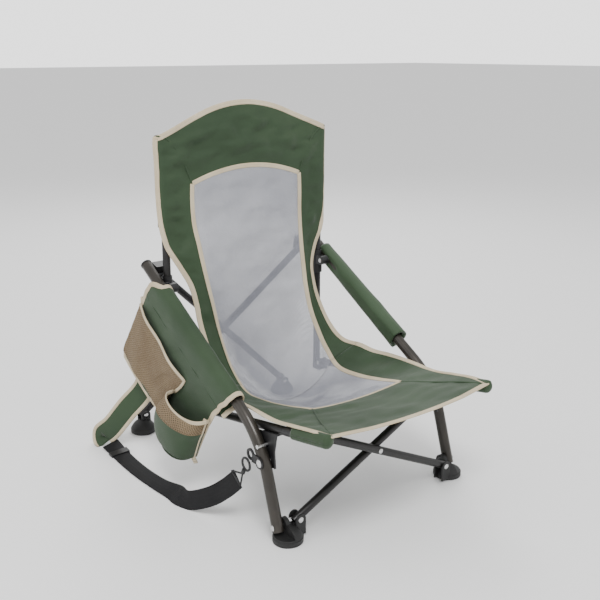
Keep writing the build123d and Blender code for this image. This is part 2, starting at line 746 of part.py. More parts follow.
def arm_place(along, down):
    turn = math.radians(arm_angle)
    y = knee_y + along * math.cos(turn) + down * math.sin(turn)
    z = knee_z + along * math.sin(turn) - down * math.cos(turn)
    return y, z


def organiser():
    cover = arm_cover(-1, sleeve_low_y, sleeve_high_y, sleeve_radius, sleeve_shift)
    keep("organiser_sleeve", cover, green)
    panel = side_plate([arm_place(*c) for c in panel_outline], organiser_x, organiser_x - panel_thickness)
    panel -= arm_rod(-1, sleeve_low_y - 60, sleeve_high_y + 60, sleeve_radius, leg_lane + sleeve_shift)
    keep("organiser_panel", panel, green)
    pocket_x = organiser_x - panel_thickness
    pocket = side_plate([arm_place(*c) for c in pocket_outline], pocket_x, pocket_x - pocket_swell)
    centre = Pos(pocket_x, holder_middle_y, 0)

    def shell(low, high, shrink_low, closed):
        half = holder_half_length
        outer_low = centre * Pos(0, 0, low) * Ellipse(holder_swell * shrink_low, half * shrink_low)
        outer_high = centre * Pos(0, 0, high) * Ellipse(holder_swell, half)
        outer = loft([outer_low, outer_high])
        floor = low + (holder_wall if closed else -1)
        swell_in = holder_swell - holder_wall
        half_in = half - holder_wall
        inner_low = centre * Pos(0, 0, floor) * Ellipse(swell_in * shrink_low, half_in * shrink_low)
        inner_high = centre * Pos(0, 0, high + 1) * Ellipse(swell_in, half_in)
        body = outer - loft([inner_low, inner_high])
        return body & box_between((pocket_x - 200, -400, 0), (pocket_x - 0.2, 400, 600))

    cup = shell(holder_low_z, holder_ring_z, holder_low_share, True)
    band = shell(holder_ring_z, holder_high_z, 1.0, False)
    room = centre * Pos(0, 0, holder_low_z - 1) * extrude(
        Ellipse(holder_swell + 1, holder_half_length + 1), holder_high_z - holder_low_z + 30
    )
    keep("organiser_pocket", pocket - room, tan)
    keep("bottle_holder_cup", cup, green)
    keep("bottle_holder_band", band, tan)


# ---- carry strap -------------------------------------------------------------------------------
strap_stations = [
    ((-245, -185, 93), (0, 0.81, 0.59)),
    ((-256, -160, 66), (0, 0.72, 0.69)),
    ((-272, -130, 41), (0.03, 0.55, 0.83)),
    ((-292, -88, 20.5), (0.1, 0.25, 0.96)),
    ((-296, -52, 16), (0.6, 0.1, 0.75)),
    ((-291, -20, 9.5), (0.9, 0, 0.42)),
    ((-295, 35, 3.6), (1, 0, 0.1)),
    ((-299, 100, 2.2), (1, 0, 0.02)),
    ((-299, 160, 2.2), (1, 0, 0.02)),
    ((-297, 210, 3.6), (1, 0, 0.05)),
    ((-297, 255, 9), (0.9, -0.3, 0.2)),
]
band_stations = [
    ((-300, 282, 20), (0.45, -0.75, -0.4)),
    ((-288, 257, 46), (0.25, -0.72, -0.65)),
    ((-264, 230, 92), (0.25, -0.72, -0.65)),
    ((-235, 202, 141), (0.2, -0.75, -0.6)),
    ((-228, 196, 190), (0.1, -0.85, -0.4)),
    ((-224, 188, 260), (0.05, -0.95, -0.2)),
    ((-223, 181, 345), (0.05, -1, -0.1)),
]
slider_station = 9


def carry_strap():
    outer = -(leg_lane + leg_radius)
    y, z = big_rivet
    tab = rod((outer, y, z), (outer - 3, y, z), 10.5)
    tab += box_between((outer - 3, y, z - 5), (outer, y + 22, z + 12))
    tab -= rod((outer + 5, y, z), (outer - 8, y, z), pin_radius + pin_play)
    eye = (outer - 1.5, y + 27, z + 8)
    tab += rod((outer, eye[1], eye[2]), (outer - 3, eye[1], eye[2]), 11)
    tab -= rod((outer + 5, eye[1], eye[2]), (outer - 8, eye[1], eye[2]), 6.5)
    keep("strap_loop_plate", tab, black)
    ring_middle = (outer - 6.5, eye[1] + 8, eye[2] - 22)
    ring = Plane(origin=ring_middle, x_dir=(0, 1, 0), z_dir=(1, 0, 0)) * Torus(hook_radius, hook_wire_radius)
    down = (-0.12, 0.35, -0.93)
    swivel_top = moved(ring_middle, down, hook_radius)
    swivel_low = moved(ring_middle, down, hook_radius + 10)
    keep("strap_snap_hook", ring + rod(swivel_top, swivel_low, swivel_radius), black)
    floor = box_between((-600, -600, -200), (600, 900, 0.4))
    web = ribbon(strap_stations, strap_width, strap_thickness)
    point, across = strap_stations[slider_station]
    way = Vector(*strap_stations[slider_station + 1][0]) - Vector(*strap_stations[slider_station - 1][0])
    flat = Vector(*across)
    flat = flat - way * (flat.dot(way) / way.dot(way))
    place = Plane(origin=point, x_dir=flat, z_dir=way)
    slider = place * Box(strap_width + 4, 7, 18) - web
    keep("strap_slider", slider - floor, black)
    keep("strap_webbing", web - floor, black)
    keep("strap_band", ribbon(band_stations, band_width, 3.0) - floor, green)


# ---- build ---------------------------------------------------------------------------------------
for side in (-1, 1):
    front_foot(side)
    rear_foot(side)
    leg_and_arm(side)
    leg_bracket(side)
    pole(side)
    rail(side)
    hub(side)
    knuckle(side)
crosses()
tube_end_plugs()
sling()
arm_pad()
organiser()
carry_strap()

boxes = [shape.bounding_box() for shape in pieces.values()]
low_corner = [min(getattr(box.min, axis) for box in boxes) for axis in "XYZ"]
high_corner = [max(getattr(box.max, axis) for box in boxes) for axis in "XYZ"]
origin_shift = (
    -(low_corner[0] + high_corner[0]) / 2,
    -(low_corner[1] + high_corner[1]) / 2,
    -low_corner[2],
)

if __name__ == "__main__":
    os.makedirs("parts", exist_ok=True)
    for node, shape in pieces.items():
        placed = Pos(*origin_shift) * Compound(shape.solids())
        placed.label = node
        export_step(placed, f"parts/{node}.step")
    print("nodes", len(pieces), "shift", [round(v, 3) for v in origin_shift])
    print("size", [round(b - a, 2) for a, b in zip(low_corner, high_corner)])
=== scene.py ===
import bpy
import bmesh
import json
import math
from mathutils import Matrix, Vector, noise
from mathutils.kdtree import KDTree


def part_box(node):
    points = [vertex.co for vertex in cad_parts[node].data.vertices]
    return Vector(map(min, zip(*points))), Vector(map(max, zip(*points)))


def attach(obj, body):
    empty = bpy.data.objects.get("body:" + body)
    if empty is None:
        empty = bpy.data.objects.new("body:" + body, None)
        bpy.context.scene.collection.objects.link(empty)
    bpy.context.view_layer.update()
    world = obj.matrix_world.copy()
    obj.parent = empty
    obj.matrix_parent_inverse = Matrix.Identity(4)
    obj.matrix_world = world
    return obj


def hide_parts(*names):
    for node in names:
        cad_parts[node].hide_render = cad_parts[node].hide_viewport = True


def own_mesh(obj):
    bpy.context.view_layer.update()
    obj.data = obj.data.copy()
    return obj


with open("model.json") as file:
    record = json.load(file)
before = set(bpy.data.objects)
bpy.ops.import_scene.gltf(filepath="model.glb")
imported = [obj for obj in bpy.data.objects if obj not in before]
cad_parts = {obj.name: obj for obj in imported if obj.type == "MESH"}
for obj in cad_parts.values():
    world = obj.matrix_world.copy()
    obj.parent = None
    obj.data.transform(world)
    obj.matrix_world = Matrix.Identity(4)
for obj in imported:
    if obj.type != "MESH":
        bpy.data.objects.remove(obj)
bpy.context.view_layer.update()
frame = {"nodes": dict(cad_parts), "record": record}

# Sizes are in millimetres from the middle of the four feet, like the frame's own drawing.
# Each finished mesh is brought to metres and to the frame's origin by place_mesh().
MM = 0.001
foot_nodes = ("front_foot_left", "front_foot_right", "rear_foot_left", "rear_foot_right")
foot_middles = [sum(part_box(n), Vector()) / 2 for n in foot_nodes]
middle = sum(foot_middles, Vector()) / len(foot_middles)
middle.z = 0.0

# ---- camera, light and floor ------------------------------------------------------------
camera_place = Vector((-1.006, -1.372, 0.850))
camera_aim = Vector((0.0395, 0.0, 0.341))


def add_camera():
    data = bpy.data.cameras.new("camera")
    data.lens = 51.0
    data.sensor_width = 36.0
    camera = bpy.data.objects.new("camera", data)
    camera.location = camera_place + middle
    camera.rotation_euler = (camera_aim - camera_place).to_track_quat("-Z", "Y").to_euler()
    bpy.context.scene.collection.objects.link(camera)
    bpy.context.scene.camera = camera


def add_lamp(name, place, aim, size, power):
    data = bpy.data.lights.new(name, "AREA")
    data.shape = "DISK"
    data.size = size
    data.energy = power
    lamp = bpy.data.objects.new(name, data)
    lamp.location = place
    lamp.rotation_euler = (Vector(aim) - Vector(place)).to_track_quat("-Z", "Y").to_euler()
    bpy.context.scene.collection.objects.link(lamp)


def add_studio():
    add_lamp("key", (-0.9, -1.5, 2.9), (0, 0, 0.3), 1.3, 62.0)
    add_lamp("side", (-2.6, 0.2, 1.5), (0, 0, 0.3), 1.5, 8.0)
    add_lamp("back", (1.4, 2.2, 2.4), (0, 0, 0.3), 1.5, 40.0)
    world = bpy.data.worlds.new("studio")
    world.use_nodes = True
    shade = world.node_tree.nodes["Background"]
    shade.inputs["Color"].default_value = (1.0, 1.0, 1.0, 1.0)
    seen = world.node_tree.nodes.new("ShaderNodeLightPath").outputs["Is Camera Ray"]
    level = world.node_tree.nodes.new("ShaderNodeMapRange")
    level.inputs["To Min"].default_value = 1.0
    level.inputs["To Max"].default_value = 2.2
    world.node_tree.links.new(seen, level.inputs["Value"])
    world.node_tree.links.new(level.outputs[0], shade.inputs["Strength"])
    bpy.context.scene.world = world
    bm = bmesh.new()
    bmesh.ops.create_grid(bm, x_segments=1, y_segments=1, size=40.0)
    mesh = bpy.data.meshes.new("floor")
    bm.to_mesh(mesh)
    bm.free()
    floor = bpy.data.objects.new("floor", mesh)
    bpy.context.scene.collection.objects.link(floor)
    paint = bpy.data.materials.new("floor")
    paint.use_nodes = True
    shader = paint.node_tree.nodes["Principled BSDF"]
    shader.inputs["Base Color"].default_value = (0.96, 0.96, 0.96, 1.0)
    shader.inputs["Roughness"].default_value = 0.9
    mesh.materials.append(paint)


add_camera()
add_studio()


# ---- shader groups -----------------------------------------------------------------------
class Group:
    """A shader node group under construction, with short ways to add and join nodes."""

    def __init__(self, name, inputs, outputs):
        self.tree = bpy.data.node_groups.new(name, "ShaderNodeTree")
        for label, kind, value in inputs:
            socket = self.tree.interface.new_socket(label, in_out="INPUT", socket_type=kind)
            socket.default_value = value
        for label, kind in outputs:
            self.tree.interface.new_socket(label, in_out="OUTPUT", socket_type=kind)
        self.source = self.tree.nodes.new("NodeGroupInput").outputs
        self.sink = self.tree.nodes.new("NodeGroupOutput").inputs

    def node(self, kind, settings=None, **values):
        return add_node(self.tree, kind, settings, **values)


def add_node(tree, kind, settings=None, **values):
    """Adds a node; values are set or linked by input name, with _ for spaces, or by i0, i1 for numbers."""
    node = tree.nodes.new(kind)
    for key, value in (settings or {}).items():
        setattr(node, key, value)
    for key, value in values.items():
        numbered = key[0] == "i" and key[1:].isdigit()
        socket = node.inputs[int(key[1:]) if numbered else key.replace("_", " ")]
        if isinstance(value, bpy.types.NodeSocket):
            tree.links.new(value, socket)
        else:
            socket.default_value = value
    return node


def math_node(tree, operation, first, second=0.0):
    return add_node(tree, "ShaderNodeMath", {"operation": operation}, i0=first, i1=second).outputs[0]


def make_weave_group():
    """Plain woven cloth: threads that pass over and under, on a map in metres."""
    group = Group(
        "woven cloth",
        [("Map", "NodeSocketVector", (0, 0, 0)), ("Threads", "NodeSocketFloat", 1000.0)],
        [("Height", "NodeSocketFloat")],
    )
    tree = group.tree
    parts = group.node("ShaderNodeSeparateXYZ", Vector=group.source["Map"])
    waves = []
    for axis in ("X", "Y"):
        turns = math_node(tree, "MULTIPLY", parts.outputs[axis], group.source["Threads"])
        angle = math_node(tree, "MULTIPLY", turns, math.pi)
        waves.append(math_node(tree, "SINE", angle))
    crossing = math_node(tree, "MULTIPLY", waves[0], waves[1])
    sharp = [math_node(tree, "ABSOLUTE", w) for w in waves]
    rows = math_node(tree, "ADD", sharp[0], sharp[1])
    mixed = math_node(tree, "MULTIPLY_ADD", crossing, 0.25)
    mixed.node.inputs[2].default_value = 0.35
    height = math_node(tree, "MULTIPLY_ADD", rows, 0.2)
    tree.links.new(mixed, height.node.inputs[2])
    tree.links.new(height, group.sink["Height"])
    return tree


def make_net_group():
    """Open net: round holes in staggered rows on a map in metres. Mask is 1 in a hole."""
    group = Group(
        "open net",
        [
            ("Map", "NodeSocketVector", (0, 0, 0)),
            ("Pitch", "NodeSocketFloat", 0.002),
            ("Hole", "NodeSocketFloat", 0.5),
        ],
        [("Mask", "NodeSocketFloat")],
    )
    tree = group.tree
    parts = group.node("ShaderNodeSeparateXYZ", Vector=group.source["Map"])
    turn = []
    for axis in ("X", "Y"):
        ratio = math_node(tree, "DIVIDE", parts.outputs[axis], group.source["Pitch"])
        turn.append(math_node(tree, "MULTIPLY", ratio, 2 * math.pi))
    first = math_node(tree, "COSINE", math_node(tree, "ADD", turn[0], turn[1]))
    second = math_node(tree, "COSINE", math_node(tree, "SUBTRACT", turn[0], turn[1]))
    both = math_node(tree, "MULTIPLY", math_node(tree, "ADD", first, second), 0.5)
    edge = math_node(tree, "SUBTRACT", both, math_node(tree, "SUBTRACT", 1.0, group.source["Hole"]))
    clamp = group.node("ShaderNodeMapRange", Value=edge, From_Min=-0.12, From_Max=0.12)
    tree.links.new(clamp.outputs[0], group.sink["Mask"])
    return tree


def make_wear_group():
    """Slow tone changes and fine specks, as on handled paint, plastic or cloth."""
    group = Group(
        "handled surface",
        [
            ("Color", "NodeSocketColor", (0.5, 0.5, 0.5, 1)),
            ("Second Color", "NodeSocketColor", (0.6, 0.6, 0.6, 1)),
            ("Blotch Size", "NodeSocketFloat", 12.0),
            ("Speck Size", "NodeSocketFloat", 900.0),
            ("Roughness", "NodeSocketFloat", 0.5),
        ],
        [("Color", "NodeSocketColor"), ("Roughness", "NodeSocketFloat"), ("Specks", "NodeSocketFloat")],
    )
    tree = group.tree
    spot = group.node("ShaderNodeTexCoord").outputs["Object"]
    slow = group.node("ShaderNodeTexNoise", Vector=spot, Scale=group.source["Blotch Size"], Detail=3.0)
    fine = group.node("ShaderNodeTexNoise", Vector=spot, Scale=group.source["Speck Size"], Detail=1.0)
    share = group.node("ShaderNodeMapRange", Value=slow.outputs["Fac"], From_Min=0.35, From_Max=0.7)
    mixed = add_node(tree, "ShaderNodeMix", {"data_type": "RGBA"})
    tree.links.new(share.outputs[0], mixed.inputs[0])
    tree.links.new(group.source["Color"], mixed.inputs[6])
    tree.links.new(group.source["Second Color"], mixed.inputs[7])
    tree.links.new(mixed.outputs[2], group.sink["Color"])
    swing = math_node(tree, "MULTIPLY_ADD", fine.outputs["Fac"], 0.16)
    tree.links.new(group.source["Roughness"], swing.node.inputs[2])
    tree.links.new(swing, group.sink["Roughness"])
    tree.links.new(fine.outputs["Fac"], group.sink["Specks"])
    return tree


weave_group = make_weave_group()
net_group = make_net_group()
wear_group = make_wear_group()


def new_material(name):
    material = bpy.data.materials.new(name)
    material.use_nodes = True
    shader = material.node_tree.nodes["Principled BSDF"]
    return material, material.node_tree, shader


def use_group(tree, group, **values):
    node = tree.nodes.new("ShaderNodeGroup")
    node.node_tree = group
    for key, value in values.items():
        socket = node.inputs[key.replace("_", " ")]
        if isinstance(value, bpy.types.NodeSocket):
            tree.links.new(value, socket)
        else:
            socket.default_value = value
    return node


def cloth_map(tree):
    return add_node(tree, "ShaderNodeUVMap", {"uv_map": "cloth"}).outputs[0]


def shade_by(tree, color, factor, low, high):
    """Paints shade into a colour where factor is low, and light where high is above 1: the result is the
    colour times low..high.
    """
    share = add_node(tree, "ShaderNodeMapRange", Value=factor, To_Min=low, To_Max=high).outputs[0]
    grey = add_node(tree, "ShaderNodeCombineColor", i0=share, i1=share, i2=share).outputs[0]
    mixed = add_node(tree, "ShaderNodeMix", {"data_type": "RGBA", "blend_type": "MULTIPLY"}, i0=1.0)
    tree.links.new(color, mixed.inputs[6])
    tree.links.new(grey, mixed.inputs[7])
    return mixed.outputs[2]


def bump(tree, shader, height, strength, distance):
    node = add_node(tree, "ShaderNodeBump", Strength=strength, Distance=distance, Height=height)
    tree.links.new(node.outputs[0], shader.inputs["Normal"])


def woven(name, color, second, threads, roughness, sheen=0.15):
    material, tree, shader = new_material(name)
    wear = use_group(tree, wear_group, Color=color, Second_Color=second, Blotch_Size=9.0, Roughness=roughness)
    weave = use_group(tree, weave_group, Map=cloth_map(tree), Threads=threads)
    # Painted shade and light: the cloth colour is darkened in the hollows of the weave and lightened on its
    # raised threads (times 0.72 to 1.12 by weave height).
    tone = shade_by(tree, wear.outputs["Color"], weave.outputs["Height"], 0.72, 1.12)
    tree.links.new(tone, shader.inputs["Base Color"])
    tree.links.new(wear.outputs["Roughness"], shader.inputs["Roughness"])
    shader.inputs["Sheen Weight"].default_value = sheen
    shader.inputs["Sheen Roughness"].default_value = 0.4
    shader.inputs["Specular IOR Level"].default_value = 0.35
    bump(tree, shader, weave.outputs["Height"], 0.35, 0.0004)
    return material


def ribbed(name, color, second, pitch, roughness):
    """Tape or webbing: ribs across its length, and fine threads along it."""
    material, tree, shader = new_material(name)
    wear = use_group(
        tree, wear_group, Color=color, Second_Color=second, Blotch_Size=25.0, Roughness=roughness
    )
    parts = add_node(tree, "ShaderNodeSeparateXYZ", Vector=cloth_map(tree))
    turn = math_node(tree, "MULTIPLY", parts.outputs["Y"], 2 * math.pi / pitch)
    rib = math_node(tree, "MULTIPLY_ADD", math_node(tree, "SINE", turn), 0.5)
    rib.node.inputs[2].default_value = 0.5
    cross = math_node(tree, "MULTIPLY", parts.outputs["X"], 2 * math.pi / (pitch * 0.8))
    thread = math_node(tree, "MULTIPLY_ADD", math_node(tree, "SINE", cross), 0.2)
    tree.links.new(rib, thread.node.inputs[2])
    # Painted shade and light: the tape colour is darkened in the grooves between ribs and threads and
    # slightly lightened on their tops (times 0.78 to 1.06).
    tone = shade_by(tree, wear.outputs["Color"], thread, 0.78, 1.06)
    tree.links.new(tone, shader.inputs["Base Color"])
    tree.links.new(wear.outputs["Roughness"], shader.inputs["Roughness"])
    shader.inputs["Specular IOR Level"].default_value = 0.3
    bump(tree, shader, thread, 0.4, 0.0004)
    return material


def netted(name, color, second, pitch, hole, open_alpha, hole_shade):
    material, tree, shader = new_material(name)
    wear = use_group(tree, wear_group, Color=color, Second_Color=second, Blotch_Size=14.0, Roughness=0.7)
    net = use_group(tree, net_group, Map=cloth_map(tree), Pitch=pitch, Hole=hole)
    closed = math_node(tree, "SUBTRACT", 1.0, net.outputs["Mask"])
    # Painted shade: the net's holes are darkened, standing in for the shade seen through them.
    tone = shade_by(tree, wear.outputs["Color"], closed, hole_shade, 1.0)
    tree.links.new(tone, shader.inputs["Base Color"])
    tree.links.new(wear.outputs["Roughness"], shader.inputs["Roughness"])
    see = add_node(tree, "ShaderNodeMapRange", Value=closed, To_Min=open_alpha, To_Max=1.0)
    tree.links.new(see.outputs[0], shader.inputs["Alpha"])
    bump(tree, shader, closed, 0.3, 0.0004)
    return material


def painted(name, color, second, roughness, metallic=0.0, coat=0.0, blotch=30.0, speck=900.0, depth=0.12):
    material, tree, shader = new_material(name)
    wear = use_group(
        tree,
        wear_group,
        Color=color,
        Second_Color=second,
        Blotch_Size=blotch,
        Speck_Size=speck,
        Roughness=roughness,
    )
    tree.links.new(wear.outputs["Color"], shader.inputs["Base Color"])
    tree.links.new(wear.outputs["Roughness"], shader.inputs["Roughness"])
    shader.inputs["Metallic"].default_value = metallic
    shader.inputs["Coat Weight"].default_value = coat
    bump(tree, shader, wear.outputs["Specks"], depth, 0.0003)
    return material


green_cloth = woven("green_cloth", (0.026, 0.050, 0.022, 1), (0.036, 0.065, 0.030, 1), 1150.0, 0.6)
pad_cloth = woven("pad_cloth", (0.037, 0.068, 0.031, 1), (0.047, 0.082, 0.040, 1), 1150.0, 0.55)
cream_tape = ribbed("cream_tape", (0.60, 0.50, 0.345, 1), (0.68, 0.585, 0.42, 1), 0.0016, 0.75)
black_webbing = ribbed("black_webbing", (0.006, 0.006, 0.007, 1), (0.010, 0.010, 0.011, 1), 0.0022, 0.65)
# Both nets have painted shade in their holes: the grey net's holes are darkened slightly (0.8), the tan net's
# nearly to black (0.16).
grey_net = netted("grey_net", (0.285, 0.292, 0.335, 1), (0.335, 0.342, 0.385, 1), 0.0024, 0.78, 0.04, 0.8)
tan_net = netted("tan_net", (0.185, 0.128, 0.070, 1), (0.23, 0.165, 0.093, 1), 0.0064, 0.55, 0.4, 0.16)
bronze_tube = painted("bronze_tube", (0.030, 0.026, 0.021, 1), (0.044, 0.038, 0.031, 1), 0.3, 0.45, 0.25)
black_tube = painted("black_tube", (0.007, 0.0065, 0.0065, 1), (0.012, 0.011, 0.011, 1), 0.32, 0.3, 0.15)
black_plastic = painted("black_plastic", (0.008, 0.008, 0.009, 1), (0.013, 0.013, 0.014, 1), 0.38)
black_rubber = painted(
    "black_rubber", (0.009, 0.009, 0.009, 1), (0.015, 0.015, 0.015, 1), 0.5, speck=500.0, depth=0.2
)
steel = painted("steel", (0.62, 0.62, 0.62, 1), (0.74, 0.74, 0.74, 1), 0.2, 1.0, blotch=120.0)

slot_material = {
    "tube_bronze": bronze_tube,
    "tube_black": black_tube,
    "rivet_steel": steel,
    "rubber_black": black_rubber,
    "plastic_black": black_plastic,
    "webbing_black": black_webbing,
    "fabric_green": green_cloth,
    "mesh_grey": grey_net,
    "mesh_tan": tan_net,
}


def dress_frame():
    """Gives every node of the frame the material of its slot."""
    for part in frame["record"]["subparts"]:
        node = frame["nodes"][part["node"]]
        node.data.materials.clear()
        node.data.materials.append(slot_material[part["material_slot"]])


dress_frame()


# ---- making pieces --------------------------------------------------------------------------
def place_mesh(name, bm, material, body, fold=True, thickness=0.0, smooth=True):
    """Turns a bmesh in millimetres into a finished piece that rides on a body."""
    bmesh.ops.scale(bm, vec=(MM, MM, MM), verts=bm.verts)
    bmesh.ops.translate(bm, vec=middle, verts=bm.verts)
    mesh = bpy.data.meshes.new(name)
    bm.to_mesh(mesh)
    bm.free()
    mesh.materials.append(material)
    for face in mesh.polygons:
        face.use_smooth = smooth
    piece = bpy.data.objects.new(name, mesh)
    bpy.context.scene.collection.objects.link(piece)
    if thickness:
        wall = piece.modifiers.new("wall", "SOLIDIFY")
        wall.thickness = thickness * MM
        wall.offset = 0.0
    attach(piece, body)
    if fold:
        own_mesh(piece)
    return piece


def cloth_grid(across, along, place, size):
    """A grid of quads laid by place(u, v), u and v from 0 to 1, with its map in metres."""
    bm = bmesh.new()
    bmesh.ops.create_grid(bm, x_segments=across, y_segments=along, size=0.5)
    layer = bm.loops.layers.uv.new("cloth")
    for face in bm.faces:
        for loop in face.loops:
            u, v = loop.vert.co.x + 0.5, loop.vert.co.y + 0.5
            loop[layer].uv = (u * size[0] * MM, v * size[1] * MM)
    for vert in bm.verts:
        vert.co = place(vert.co.x + 0.5, vert.co.y + 0.5)
    return bm


def joined(parts, weld=0.3):
    """Several bmeshes as one, welded where their edges meet, with even normals."""
    whole = bmesh.new()
    for part in parts:
        mesh = bpy.data.meshes.new("part")
        part.to_mesh(mesh)
        part.free()
        whole.from_mesh(mesh)
        bpy.data.meshes.remove(mesh)
    bmesh.ops.remove_doubles(whole, verts=whole.verts, dist=weld)
    bmesh.ops.recalc_face_normals(whole, faces=whole.faces)
    return whole


def through(stations, place):
    """A smooth curve through rows of numbers; place counts rows from 0."""
    place = min(max(place, 0.0), len(stations) - 1.0)
    i = min(int(place), len(stations) - 2)
    t = place - i
    before = stations[max(i - 1, 0)]
    after = stations[min(i + 2, len(stations) - 1)]
    result = []
    for a, b, c, d in zip(before, stations[i], stations[i + 1], after):
        slope_b, slope_c = (c - a) / 2, (d - b) / 2
        result.append(
            (2 * t**3 - 3 * t**2 + 1) * b
            + (t**3 - 2 * t**2 + t) * slope_b
            + (3 * t**2 - 2 * t**3) * c
            + (t**3 - t**2) * slope_c
        )
    return result


def ease(t):
    t = min(max(t, 0.0), 1.0)
    return t * t * (3 - 2 * t)


def tape(path, width, height, sides=14, squareness=0.45):
    """A folded tape along path, rows of (point, direction across, direction up), with closed ends."""
    length = sum((path[i + 1][0] - path[i][0]).length for i in range(len(path) - 1))

    def place(u, v):
        point, across, up = path[round(v * (len(path) - 1))]
        angle = 2 * math.pi * u
        side = math.copysign(abs(math.cos(angle)) ** squareness, math.cos(angle))
        rise = math.copysign(abs(math.sin(angle)) ** squareness, math.sin(angle))
        return point + across * (side * width / 2) + up * (rise * height / 2)

    bm = cloth_grid(sides, len(path) - 1, place, (2 * width, length))
    bmesh.ops.remove_doubles(bm, verts=bm.verts, dist=0.01)
    bmesh.ops.holes_fill(bm, edges=[e for e in bm.edges if e.is_boundary], sides=0)
    bmesh.ops.recalc_face_normals(bm, faces=bm.faces)
    return bm


def framed(points, up_hint):
    """Rows for tape() along points, flat against the direction up_hint(point)."""
    rows = []
    for i, point in enumerate(points):
        way = (points[min(i + 1, len(points) - 1)] - points[max(i - 1, 0)]).normalized()
        up = up_hint(point) if callable(up_hint) else Vector(up_hint)
        across = way.cross(up).normalized()
        rows.append((point, across, across.cross(way).normalized()))
    return rows


def hem(points, inward, shift):
    """Rows for tape() along an edge, lying in its sheet and moved in from the edge by shift."""
    rows = []
    for i, point in enumerate(points):
        way = (points[min(i + 1, len(points) - 1)] - points[max(i - 1, 0)]).normalized()
        flat = (inward - way * inward.dot(way)).normalized()
        rows.append((point + flat * shift, flat, way.cross(flat).normalized()))
    return rows


# ---- the sling: seat and back ------------------------------------------------------------------
# Each row crosses the sling: outer edge (x, y, z), mesh edge (x, y, z), middle (y, z).
sling_rows = [
    (195, -391, 239, 112, -402, 236, -405, 234),
    (203, -346, 236, 112, -350, 229, -352, 225),
    (205, -290, 226, 112, -292, 221, -290, 214),
    (205, -239, 217, 111, -235, 213, -230, 203),
    (205, -172, 217, 114, -170, 197, -170, 176),
    (203, -102, 215, 117, -100, 184, -105, 150),
    (188, -45, 212, 120, -33, 182, -45, 134),
    (172, 10, 224, 122, 12, 212, 12, 140),
    (163, 50, 256, 122, 39, 243, 52, 170),
    (159.6, 85, 304, 121, 68, 290, 78, 218),
    (158, 101, 342, 122, 87, 340, 95, 282),
    (162, 114, 380, 125, 99, 380, 106, 340),
    (180, 125, 420, 128, 110, 420, 114, 396),
    (203, 130, 462, 131.5, 120, 462, 120, 450),
    (211, 138, 505, 136, 129, 505, 125, 503),
    (213.5, 141, 560, 137.6, 131, 550, 128, 557),
    (213.6, 141, 618, 136, 131, 588, 129, 615),
    (214, 141, 645, 131, 132, 636, 130, 660),
    (215, 141, 668, 122, 137, 684, 136, 707),
    (213.6, 141, 685.5, 112, 141, 726, 144, 749),
]
bend_row = 6.4  # the back ends and the seat starts here, below the poles' feet
mesh_front_row = 3
mesh_top_row = 16
last_row = len(sling_rows) - 1
pole_x = 197.0
pole_front_y = 131.0
row_step = 0.125


def sling(row, across, side=1):
    """A point of the sling: across is 0 in the middle, 1 at the mesh edge and 2 at the outer edge."""
    edge_x, edge_y, edge_z, mesh_x, mesh_y, mesh_z, mid_y, mid_z = through(sling_rows, row)
    if across <= 1:
        bow = across * across
        x = mesh_x * across
        y = mid_y + (mesh_y - mid_y) * bow
        z = mid_z + (mesh_z - mid_z) * bow
        return Vector((side * x, y, z))
    t = across - 1
    x = mesh_x + (edge_x - mesh_x) * t
    y = mesh_y + (edge_y - mesh_y) * t
    z = mesh_z + (edge_z - mesh_z) * t
    wrap = ease((edge_x - 198) / 8) if row > 11 else 0.0
    if wrap:
        turn_x = pole_x + 7
        if x < turn_x:
            front = mesh_y + (pole_front_y - mesh_y) * ease((x - mesh_x) / (turn_x - 14 - mesh_x))
        else:
            front = pole_front_y + (edge_y - pole_front_y) * ((x - turn_x) / max(edge_x - turn_x, 1)) ** 2
        y += (front - y) * wrap
    ripple = 9 * math.exp(-(((row - 6.2) / 0.55) ** 2)) * t if side > 0 else 0.0
    return Vector((side * x, y, z + ripple))


def rows_between(first, last):
    count = max(2, round((last - first) / row_step))
    return [first + (last - first) * i / count for i in range(count + 1)]


def sling_part(first, last, low, high, side, columns):
    """The grid of one part of the sling, between two rows and two places across."""
    count = len(rows_between(first, last)) - 1

    def place(u, v):
        return sling(first + (last - first) * v, low + (high - low) * u, side)

    middle_row = (first + last) / 2
    width = (sling(middle_row, high, side) - sling(middle_row, low, side)).length
    edge = [sling(first + (last - first) * i / 20, high, side) for i in range(21)]
    length = sum((b - a).length for a, b in zip(edge, edge[1:]))
    return cloth_grid(columns, count, place, (width, length))


def wrinkle(bm, size, depth, edge=None):
    """Pushes a sheet in and out in long soft folds; edge(co) is 0 where it is held and 1 where free."""
    bm.normal_update()
    shifts = []
    for vert in bm.verts:
        spot = Vector((vert.co.x / size[0], vert.co.y / size[1], vert.co.z / size[2]))
        push = noise.noise(spot) + 0.5 * noise.noise(spot * 2.3 + Vector((7, 3, 1)))
        free = edge(vert.co) if edge else 1.0
        shifts.append(vert.normal * (push * depth * free))
    for vert, shift in zip(bm.verts, shifts):
        vert.co += shift


def calm_near(points, reach):
    """1 away from the held edge points, falling to 0 on them."""
    tree = KDTree(len(points))
    for i, point in enumerate(points):
        tree.insert(point, i)
    tree.balance()
    return lambda co: ease(tree.find(co)[2] / reach)


def sling_edges(first, last):
    points = []
    for row in rows_between(first, last):
        for side in (-1, 1):
            points.append(sling(row, 2, side))
            if mesh_front_row <= row <= mesh_top_row:
                points.append(sling(row, 1, side))
    for row in (0, mesh_front_row, mesh_top_row, last_row, bend_row):
        if first <= row <= last:
            for i in range(41):
                across = abs(i - 20) / 10
                if row in (mesh_front_row, mesh_top_row) and across > 1:
                    continue
                points.append(sling(row, across, 1 if i > 20 else -1))
    return points


